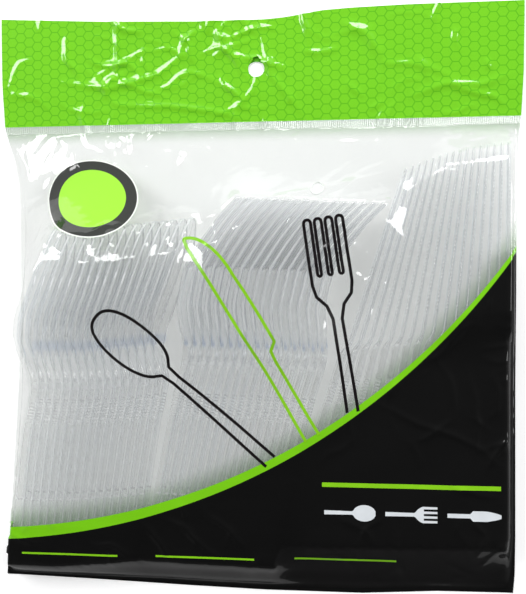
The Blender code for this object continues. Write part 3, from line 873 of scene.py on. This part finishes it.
def ribbon(ply, points, width, closed=False):
    """Points and quads of a flat line on the film, 0.1 mm proud of it."""
    points = np.asarray(points, float)
    if closed:
        points = np.concatenate([points, points[:1]])
    gaps = np.hypot(*np.diff(points, axis=0).T)
    run = np.concatenate([[0], np.cumsum(gaps)])
    marks = np.linspace(0, run[-1], max(3, int(run[-1] / 0.6)))
    middle = np.stack([np.interp(marks, run, points[:, k]) for k in (0, 1)], 1)
    width = np.interp(marks, run, width * np.ones(len(points)))[:, None]
    if closed:
        ahead = np.roll(middle[:-1], -1, axis=0) - np.roll(middle[:-1], 1, axis=0)
        ahead = np.concatenate([ahead, ahead[:1]])
    else:
        ahead = np.gradient(middle, axis=0)
    ahead /= np.maximum(np.linalg.norm(ahead, axis=1, keepdims=True), 1e-9)
    side = np.stack([-ahead[:, 1], ahead[:, 0]], 1)
    rows = [middle + side * width * s for s in (-0.5, 0.0, 0.5)]
    out = []
    for row in rows:
        out.append(np.concatenate([row, (ply.height(row[:, 0], row[:, 1]) + 0.1)[:, None]], 1))
    count = len(marks)
    faces = [(r * count + k, r * count + k + 1, (r + 1) * count + k + 1, (r + 1) * count + k)
             for r in range(2) for k in range(count - 1)]
    return np.concatenate(out), faces


def turned(outline, base, lean, scale=1.0):
    """Puts a drawing, made upright from (0, 0), on its base point and leans it to the left."""
    a = math.radians(lean)
    p = np.asarray(outline, float) * scale
    return np.stack([base[0] + p[:, 0] * math.cos(a) - p[:, 1] * math.sin(a),
                     base[1] + p[:, 0] * math.sin(a) + p[:, 1] * math.cos(a)], 1)


def both_sides(half):
    """An outline from its right side, read upwards."""
    right = np.asarray(half, float)
    left = right[::-1] * (-1, 1)
    return np.concatenate([right, left])


def spoon_line():
    handle = [(3.0, 0), (2.8, 20), (2.4, 42), (2.0, 56), (2.6, 62)]
    bowl = [(10.4 * math.sin(t) ** 0.8, 81 - 18.5 * math.cos(t)) for t in np.linspace(0.35, 3.14, 26)]
    return both_sides(handle + bowl)


def knife_line():
    belly = [(7.4 - 1.6 * t * t, 46 + 34 * t) for t in np.linspace(0.0, 1, 8)]
    tip = [(-4.6 + 10.4 * math.cos(t), 80 + 24 * math.sin(t)) for t in np.linspace(0.1, math.pi / 2, 14)]
    return np.array([(3.4, 0), (3.0, 24), (3.0, 38), (3.6, 43), (5.6, 44.6)] + belly + tip
                    + [(-5.2, 100), (-4.6, 70), (-3.4, 38), (-3.2, 0)])


def fork_line():
    right = [(2.8, 0), (2.4, 30), (2.2, 48), (4.2, 55), (8.6, 60), (9.8, 66), (9.9, 92)]
    tips = []
    for k in range(4):
        centre = 8.1 - 5.4 * k
        tips += [(centre + 1.75 * math.cos(t), 97 + 1.75 * math.sin(t)) for t in np.linspace(0, 3.14, 9)]
        if k < 3:
            tips += [(centre - 2.7 - 0.95 * math.cos(t), 71 - 0.95 * math.sin(t))
                     for t in np.linspace(math.pi, 0, 7)]
    left = [(-x, y) for x, y in right[::-1]]
    return np.array(right + tips + left)


def spoon_sign():
    axis = np.linspace(0, 23, 40)
    bowl = np.sqrt(np.clip(1 - ((axis - 18) / 5.2) ** 2, 0.0, 1))
    return [(np.stack([0 * axis, axis], 1), np.maximum(1.9 - 0.03 * axis, 7.4 * bowl))]


def fork_sign():
    axis = np.array([0.0, 9, 13, 14.5, 16, 17])
    palm = (np.stack([0 * axis, axis], 1), np.array([1.9, 1.7, 1.6, 5.0, 7.0, 7.4]))
    tines = [(np.array([(x, 16.5), (x, 23.0)]), np.array([1.15, 1.0])) for x in (-3.1, -1.03, 1.03, 3.1)]
    return [palm] + tines


def knife_sign():
    axis = np.linspace(0, 23.5, 40)
    blade = 4.6 * np.sqrt(np.clip((24.2 - axis) / 7, 0, 1)) * (axis > 10.5)
    return [(np.stack([0 * axis, axis], 1), np.maximum(1.9 * (axis < 22), blade))]


def on_arc(x):
    return x, ARC[1] - math.sqrt(ARC[2] ** 2 - (x - ARC[0]) ** 2) - 1.0


def ink(name, colour):
    make = Shader(name)
    body = make.node("BsdfPrincipled")
    shade = [c * 0.82 for c in colour[:3]] + [1.0]
    make.feed(body.inputs["Base Color"], make.colour(make.noise(140.0), colour, shade))
    body.inputs["Roughness"].default_value = 0.2
    make.feed(body.inputs["Normal"], make.bump(make.noise(90.0, 4.0), 0.3, 0.0008))
    return make.done(body.outputs[0])


def print_drawings(ply):
    black, green = ink("black_ink", linear(24, 20, 22)), ink("green_ink", linear(138, 208, 30))
    white = ink("white_ink", linear(225, 230, 234))
    jobs = [
        ("line_spoon", black, [(turned(spoon_line(), on_arc(10.0), 49), LINE_WIDTH, False)]),
        ("line_knife", green, [(turned(knife_line(), on_arc(29.0), 29), LINE_WIDTH, False)]),
        ("line_fork", black, [(turned(fork_line(), on_arc(47.0), 8, 0.88), LINE_WIDTH, False)]),
        ("rule", green, [([(33.1, -83.0), (112.0, -83.0)], 2.0, False)]),
        ("foot_line", green, [([(-108.0 + 64 * k, -118.4 + 0.4 * k), (-62.0 + 64 * k, -118.4 + 0.4 * k)],
                               0.9, False) for k in range(3)]),
    ]
    marks = []
    for k, shape in enumerate((spoon_sign, fork_sign, knife_sign)):
        for axis, widths in shape():
            marks.append((turned(axis, (34.0 + 27.4 * k, -95.5), -90), widths, False))
    jobs.append(("pictograms", white, marks))
    for name, material, lines in jobs:
        points, faces, start = [], [], 0
        for line, width, closed in lines:
            p, f = ribbon(ply, line, width, closed)
            points.append(p)
            faces += [tuple(i + start for i in face) for face in f]
            start += len(p)
        obj = mesh_object(name, np.concatenate(points), faces, material)
        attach(obj, "root")


def make_bag(heights):
    front = drape(heights)
    crumple(front)
    back = Ply(1.3)
    sheets = [front.mesh("film_front", film("front_film", front_print, 1.75), [HANG_HOLE, VENT_HOLE]),
              back.mesh("film_back", film("back_film", back_print, 1.42), [HANG_HOLE_BACK])]
    for sheet in sheets:
        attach(sheet, "root")
        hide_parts("bag")
    rim = vent_rim(front)
    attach(rim, "root")
    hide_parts("bag")
    print_drawings(front)


def vent_rim(ply):
    """The thickened lip round the vent hole, left by the hot punch."""
    cx, cy, radius, _ = VENT_HOLE
    turns, sides, thick = 48, 8, 0.26
    points, faces = [], []
    for k in range(turns):
        a = 2 * math.pi * k / turns
        for m in range(sides):
            b = 2 * math.pi * m / sides
            far = radius + 0.1 + thick * math.cos(b)
            px, py = cx + far * math.cos(a), cy + far * math.sin(a)
            base = ply.height(cx + (radius + 0.3) * math.cos(a), cy + (radius + 0.3) * math.sin(a))
            points.append((px, py, float(base) + thick * math.sin(b)))
            ahead, beside = (k + 1) % turns, (m + 1) % sides
            faces.append((k * sides + m, ahead * sides + m, ahead * sides + beside,
                          k * sides + beside))
    return mesh_object("vent_rim", points, faces, ink("lip_film", linear(236, 240, 236)), sharp=80)


# The studio

def studio():
    scene = bpy.context.scene
    world = bpy.data.worlds.new("tent")
    scene.world = world
    world.use_nodes = True
    tree = world.node_tree
    sky = tree.nodes["Background"]
    where = tree.nodes.new("ShaderNodeTexCoord")
    split = tree.nodes.new("ShaderNodeSeparateXYZ")
    height = tree.nodes.new("ShaderNodeMapRange")
    height.interpolation_type = "SMOOTHSTEP"
    for socket, number in zip(list(height.inputs)[1:5], (0.62, 0.86, 0.70, 0.09)):
        socket.default_value = number
    tree.links.new(where.outputs["Generated"], split.inputs[0])
    tree.links.new(split.outputs[2], height.inputs[0])
    front = tree.nodes.new("ShaderNodeMapRange")
    front.interpolation_type = "SMOOTHSTEP"
    for socket, number in zip(list(front.inputs)[1:5], (-0.75, 0.1, 0.22, 1.0)):
        socket.default_value = number
    both = tree.nodes.new("ShaderNodeMath")
    both.operation = "MULTIPLY"
    tree.links.new(split.outputs[1], front.inputs[0])
    tree.links.new(height.outputs[0], both.inputs[0])
    tree.links.new(front.outputs[0], both.inputs[1])
    tree.links.new(both.outputs[0], sky.inputs["Strength"])
    sky.inputs["Color"].default_value = (0.985, 0.99, 1.0, 1.0)

    make = Shader("floor_card")
    body = make.node("BsdfPrincipled")
    body.inputs["Base Color"].default_value = (0.88, 0.88, 0.88, 1.0)
    body.inputs["Roughness"].default_value = 0.8
    body.inputs["Emission Color"].default_value = (1.0, 1.0, 1.0, 1.0)
    body.inputs["Emission Strength"].default_value = 0.32
    make.done(body.outputs[0])
    side = 9000.0
    corners = [(-side, -side, -0.15), (side, -side, -0.15), (side, side, -0.15), (-side, side, -0.15)]
    floor = mesh_object("floor", corners, [(0, 1, 2, 3)], make.material)
    lamps = (("key", (-0.78, 0.62, 0.92), 10.5, 0.60), ("fill", (0.95, 0.1, 0.85), 7.0, 0.50),
             ("top", (0.1, 1.05, 0.8), 6.0, 0.45))
    for name, place, energy, size in lamps:
        light = bpy.data.lights.new(name, "AREA")
        light.energy, light.size = energy, size
        lamp = bpy.data.objects.new(name, light)
        lamp.location = place
        lamp.rotation_euler = (-np.array(place)).tolist() and look_at(place)
        scene.collection.objects.link(lamp)


def look_at(place):
    from mathutils import Vector
    return (-Vector(place)).to_track_quat("-Z", "Y").to_euler()


def camera():
    scene = bpy.context.scene
    data = bpy.data.cameras.new("view")
    eye = bpy.data.objects.new("view", data)
    scene.collection.objects.link(eye)
    eye.location = ((VIEW_AIM[0] + VIEW_DISTANCE * math.sin(VIEW_TILT)) * MM, VIEW_AIM[1] * MM,
                    VIEW_DISTANCE * math.cos(VIEW_TILT) * MM)
    eye.rotation_euler = (0.0, VIEW_TILT, 0.0)
    data.sensor_fit = "HORIZONTAL"
    data.sensor_width = 36.0
    data.lens = FOCAL_SHARE * 36.0
    scene.camera = eye
    scene.view_settings.view_transform = "Standard"
    scene.cycles.max_bounces = 20
    scene.cycles.transmission_bounces = 20
    scene.cycles.transparent_max_bounces = 48
    scene.cycles.diffuse_bounces = 3
    scene.cycles.glossy_bounces = 16
    scene.cycles.use_denoising = True


strips = lay_cutlery(cutlery_plastic())
make_bag(grown(relief(strips)))
studio()
camera()
